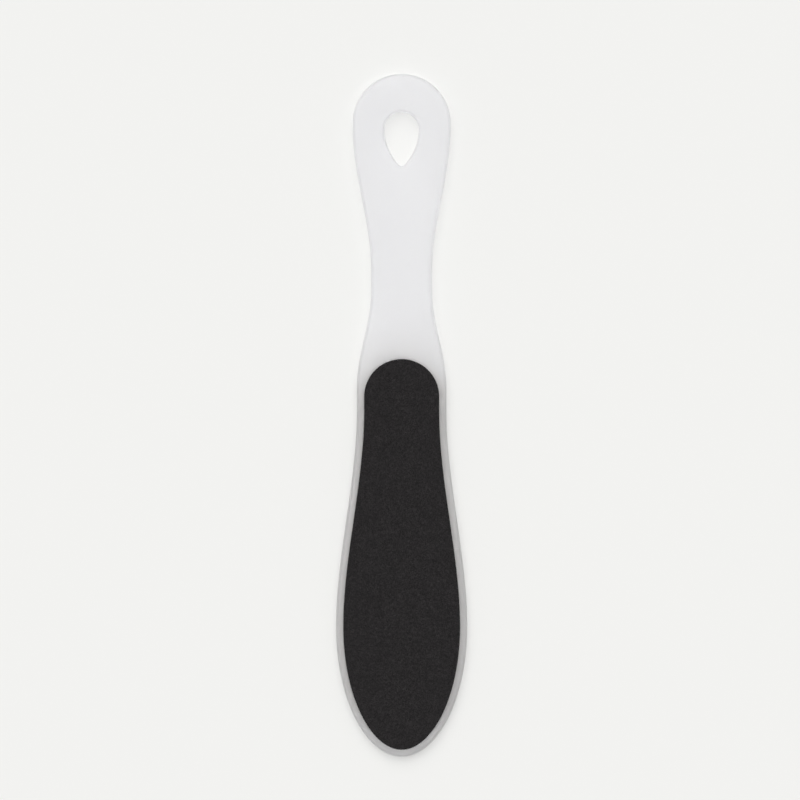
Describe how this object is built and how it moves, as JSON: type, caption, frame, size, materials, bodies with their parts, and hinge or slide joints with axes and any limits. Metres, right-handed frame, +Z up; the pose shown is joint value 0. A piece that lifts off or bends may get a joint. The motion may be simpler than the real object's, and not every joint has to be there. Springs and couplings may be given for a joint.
{
  "type": "foot file",
  "caption": "Flat foot file: a waisted frosted plastic paddle with a teardrop hanging hole and an abrasive sheet set into each face.",
  "frame": {"origin": "centre of the outline, on the plane of the lower abrasive face that the file lies on", "axes": "+Y along the file from the toe towards the hanging hole, +Z up out of the coarse face, +X across"},
  "size_m": [0.0566, 0.2944, 0.0047],
  "materials": {
    "frosted_plastic": "frosted, milky translucent, satin",
    "adhesive_film": "clear tacky film",
    "backing_paper": "latex-soaked waterproof paper, dark cut edge",
    "coarse_abrasive": "black grit in resin, matte with fine sparkle",
    "fine_abrasive": "fine black grit in resin, matte"
  },
  "bodies": {
    "root": {"paddle_body": "frosted_plastic", "coarse_adhesive": "adhesive_film", "coarse_paper": "backing_paper", "coarse_grit": "coarse_abrasive", "fine_adhesive": "adhesive_film", "fine_paper": "backing_paper", "fine_grit": "fine_abrasive"}
  },
  "joints": []
}
